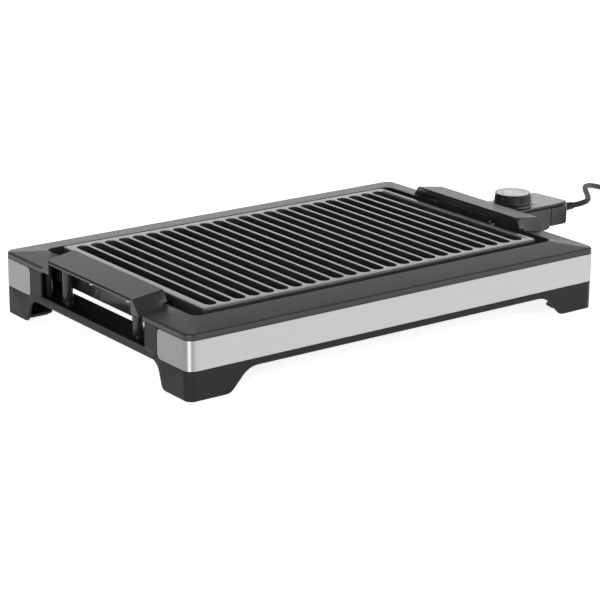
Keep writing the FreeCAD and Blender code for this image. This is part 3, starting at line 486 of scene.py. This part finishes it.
def addDial():
    # a shallow dish with a turned groove, and printed marks standing a hair above it
    values = dialValues
    x = (dialLow.x + dialHigh.x) / 2 / mm - midX / mm
    radius = (dialHigh.x - dialLow.x) / 2 / mm - 0.05
    low, high = dialLow.z / mm + 0.02, dialHigh.z / mm
    groove, width = values["grooveRadius"], values["grooveWidth"]
    profile = [(2.0, low), (radius, low), (radius, high - 0.15), (radius - 0.15, high)]
    profile += [(groove + width, high), (groove + width / 2, high - values["grooveDepth"])]
    profile += [(groove - width / 2, high - values["grooveDepth"]), (groove - width, high)]
    profile += [(size, high - values["dish"] * (1 - (size / (groove - width)) ** 2))
                for size in np.linspace(groove - width - 0.4, 0.6, 9)]
    angle = np.linspace(0, 2 * math.pi, 96, endpoint=False)
    rings = np.array([np.stack([x + size * np.cos(angle), size * np.sin(angle), np.full(96, z)], -1)
                      for size, z in profile])
    wearFinish(closedSurface("dialFace", rings), "dial_silver", "knob", "knob_dial")
    # marks: small bars on the ring, the first one long; all at once as (mark, corner, axis)
    count = values["marks"]
    turn = np.radians(np.linspace(*values["markSweep"], count))[:, None]
    near = np.where(np.arange(count) == 0, values["markFrom"] - values["firstMarkLonger"], values["markFrom"])
    far, half = np.full(count, values["markTo"]), values["markHalfWidth"]
    reach = np.tile(np.stack([near, far, far, near], -1), 2)
    side = np.tile([-half, -half, half, half], 2)
    corners = np.stack([x + reach * np.cos(turn) - side * np.sin(turn),
                        reach * np.sin(turn) + side * np.cos(turn),
                        np.tile(np.repeat([high - 0.3, high + 0.05], 4), (count, 1))], -1)
    points = (corners.reshape(-1, 3) + (midX / mm, 0, 0)) * mm
    barFaces = np.array([(3, 2, 1, 0), (4, 5, 6, 7), (0, 1, 5, 4), (1, 2, 6, 5), (2, 3, 7, 6), (3, 0, 4, 7)])
    faces = (barFaces + 8 * np.arange(count)[:, None, None]).reshape(-1, 4)
    mesh = bpy.data.meshes.new("dialMarks")
    mesh.from_pydata(points.tolist(), [], faces.tolist())
    marks = bpy.data.objects.new("dialMarks", mesh)
    bpy.context.scene.collection.objects.link(marks)
    wearFinish(marks, "knob_plastic", "knob")


addKnob()
addDial()
print("stage: knob and dial")

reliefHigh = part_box("strain_relief")[1]
reliefValues = {
    "length": 33.0,
    "flange": 2.2,    # thickness of the part held in the case
    "neck": 5.7,      # sleeve radius beside the collar
    "narrowing": 1.5,
    "firstRib": 4.6,
    "axisHeight": 56.0,
    "collar": 6.0,
    "ribs": 4,
    "ribPitch": 4.4,
    "ribHeight": 0.55,
    "tip": 4.0,
}


def addRelief():
    # a sleeve that narrows from its collar to the cord, with raised rings along it
    values = reliefValues
    high = reliefHigh.x / mm - midX / mm
    low = high - values["length"]
    x = np.linspace(low + values["flange"], high, 160)
    t = (x - x[0]) / (x[-1] - x[0])
    size = values["neck"] - values["narrowing"] * t
    fromRibs = x - x[0] - values["firstRib"]
    ring = np.mod(fromRibs, values["ribPitch"]) / values["ribPitch"]
    onRibs = (fromRibs > 0) & (fromRibs < values["ribs"] * values["ribPitch"])
    size = size + onRibs * values["ribHeight"] * np.clip(np.sin(ring * 2 * math.pi), 0, 1) ** 0.5
    collar = np.clip(1 - np.abs(x - x[0] - 1.6) / 1.5, 0, 1) ** 0.3
    size = np.maximum(size, values["collar"] * collar)
    size[-3:] = values["tip"]
    x = np.concatenate([[low, low, low + 2.1, low + 2.1], x])
    size = np.concatenate([[3.4, 5.1, 5.1, 3.9], size])
    angle = np.linspace(0, 2 * math.pi, 48, endpoint=False)
    rings = np.zeros((len(x), 48, 3))
    rings[:, :, 0] = x[:, None]
    rings[:, :, 1] = size[:, None] * np.cos(angle)[None]
    rings[:, :, 2] = values["axisHeight"] + size[:, None] * np.sin(angle)[None]
    piece = closedSurface("strainRelief", rings)
    wearFinish(piece, "cord_vinyl", "controller", "strain_relief")
    return piece


relief = addRelief()
print("stage: strain relief")


# cord
cordValues = {
    "route": [    # mm from the frame's middle
        (392, 0, 56), (409, 0, 56), (426, 8, 55.7), (444, 28, 54.6), (464, 53, 52.4), (492, 83, 47),
        (527, 108, 38), (566, 122, 25), (603, 120, 12.5), (633, 102, 5.2), (643, 73, 3.3),
        (632, 46, 3.3), (603, 27, 3.3), (581, 15.5, 3.3), (567, 1, 3.3), (559.2, -17, 3.3),
        (559.2, -35, 3.3),
    ],
    "diameter": 6.5,
    "coilMiddle": (520.0, -60.0),
    "innerTurn": 32.6,
    "pitch": 6.6,
    "turns": 3.25,
    "restHeight": 3.3,
    "pointsPerTurn": 24,
    "plugStub": 34.0,
}


def smoothStep(low, high, value):
    t = np.clip((value - low) / (high - low), 0, 1)
    return t * t * (3 - 2 * t)


def coilPoints():
    # a clockwise spiral: outer turn, inner turn, up a layer, then out again to the south side
    values = cordValues
    turn = 2 * math.pi
    angle = np.arange(0, values["turns"] * turn + 1e-6, turn / values["pointsPerTurn"])
    inward = smoothStep(turn, turn + 1.0, angle) - smoothStep(3 * turn - 1.7, 3 * turn - 0.7, angle)
    upward = smoothStep(2 * turn - 0.7, 2 * turn + 0.3, angle)
    radius = values["innerTurn"] + values["pitch"] * (1 - inward)
    radius = radius / math.cos(math.pi / values["pointsPerTurn"])    # the curve runs inside its points
    x = values["coilMiddle"][0] + radius * np.cos(angle)
    y = values["coilMiddle"][1] - radius * np.sin(angle)
    z = values["restHeight"] + values["pitch"] * upward
    return list(zip(x, y, z))


def addCord():
    values = cordValues
    turns = coilPoints()
    exitX = values["coilMiddle"][0] - values["plugStub"]
    south = values["coilMiddle"][1] - values["innerTurn"] - values["pitch"]
    top = turns[-1][2]
    points = values["route"] + turns + [(exitX + 14, south, top), (exitX, south, top)]
    curve = bpy.data.curves.new("powerCord", "CURVE")
    curve.dimensions = "3D"
    curve.bevel_depth = values["diameter"] / 2 * mm
    curve.bevel_resolution = 6
    curve.resolution_u = 8
    curve.use_fill_caps = True
    spline = curve.splines.new("NURBS")
    spline.points.add(len(points) - 1)
    for point, place in zip(spline.points, points):
        point.co = (*onFrame(*place), 1)
    spline.order_u = 3
    spline.use_endpoint_u = True
    cord = bpy.data.objects.new("powerCord", curve)
    bpy.context.scene.collection.objects.link(cord)
    cord.data.materials.append(finishes["cord_vinyl"])
    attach(cord, "controller")
    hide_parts("power_cord", "cord_coil")
    return cord


cord = addCord()
print("stage: cord")


# floor and lights
stageValues = {
    "floorColour": (0.9, 0.9, 0.9),
    "floorSize": 16.0,
    "floorGlow": 0.8,    # the griddle stands on a light table
    "backToward": (0.59, 0.81, 0.0),
    "rightToward": (0.6, -0.8, 0.0),
    "bandFoot": (0.12, 0.24),    # sines of the heights between which the bright band begins and ends
    "bandTop": (0.31, 0.37),
    "skyBack": 2.5,
    "skyRight": 2.3,
    "skyMiddle": 0.42,    # above the bright band
    "skySide": 0.03,
    "skyTop": 0.8,
}


def addFloor():
    mesh = bpy.data.meshes.new("floor")
    half = stageValues["floorSize"] / 2
    corners = [(-half, -half, 0), (half, -half, 0), (half, half, 0), (-half, half, 0)]
    mesh.from_pydata(corners, [], [(0, 1, 2, 3)])
    floor = bpy.data.objects.new("floor", mesh)
    bpy.context.scene.collection.objects.link(floor)
    material, tree, shader = newMaterial("floorPaint")
    shader.inputs["Base Color"].default_value = (*stageValues["floorColour"], 1)
    shader.inputs["Roughness"].default_value = 0.9
    shader.inputs["Emission Color"].default_value = (1, 1, 1, 1)
    shader.inputs["Emission Strength"].default_value = stageValues["floorGlow"]
    floor.data.materials.append(material)


def addWorld():
    # pale studio: a bright low band behind the griddle, a softer one to its right, a dim middle
    # and a pale ceiling
    values = stageValues
    world = bpy.data.worlds.new("studio")
    world.use_nodes = True
    tree = world.node_tree
    background = tree.nodes["Background"]
    background.inputs["Color"].default_value = (1, 1, 1, 1)
    direction = addNode(tree, "TexCoord").outputs["Generated"]
    split = addNode(tree, "SeparateXYZ")
    tree.links.new(direction, split.inputs["Vector"])
    height = split.outputs["Z"]

    def facing(toward, low, high, level):
        # how far the band lit from one side lifts the low sky
        dot = addNode(tree, "VectorMath", operation="DOT_PRODUCT")
        tree.links.new(direction, dot.inputs[0])
        dot.inputs[1].default_value = toward
        return addRange(tree, dot.outputs["Value"], low, high, 0.0, level)

    back = facing(values["backToward"], 0.45, 0.85, values["skyBack"] - values["skyMiddle"])
    right = facing(values["rightToward"], 0.45, 0.9, values["skyRight"])
    rising = addRange(tree, height, values["bandFoot"][0], values["bandFoot"][1], 0.0, 1.0)
    lowPart = addRange(tree, height, values["bandTop"][0], values["bandTop"][1], 1.0, 0.0)
    backBand = addMath(tree, "MULTIPLY", addMath(tree, "MULTIPLY", back, rising), lowPart)
    rightWall = addMath(tree, "MULTIPLY", right, addRange(tree, height, 0.5, 0.66, 1.0, 0.0))
    topPart = addRange(tree, height, 0.66, 0.85, 0.0, values["skyTop"] - values["skyMiddle"])
    low = addMath(tree, "ADD", backBand, rightWall)
    behind = facing(values["backToward"], 0.15, 0.6, values["skyMiddle"] - values["skySide"])
    middle = addMath(tree, "ADD", behind, values["skySide"])
    strength = addMath(tree, "ADD", addMath(tree, "ADD", low, topPart), middle)
    tree.links.new(strength, background.inputs["Strength"])
    bpy.context.scene.world = world


def addPanel(name, place, aim, size, power):
    data = bpy.data.lights.new(name, "AREA")
    data.shape = "RECTANGLE"
    data.size, data.size_y = size
    data.energy = power
    light = bpy.data.objects.new(name, data)
    light.location = place
    light.rotation_euler = (Vector(aim) - Vector(place)).to_track_quat("-Z", "Y").to_euler()
    bpy.context.scene.collection.objects.link(light)


addFloor()
addWorld()
addPanel("leftSoftbox", (-2.35, -1.5, 0.75), (0, 0, 0.05), (1.0, 1.5), 45)
scene = bpy.context.scene
scene.view_settings.view_transform = "Standard"
print("stage: floor and lights")
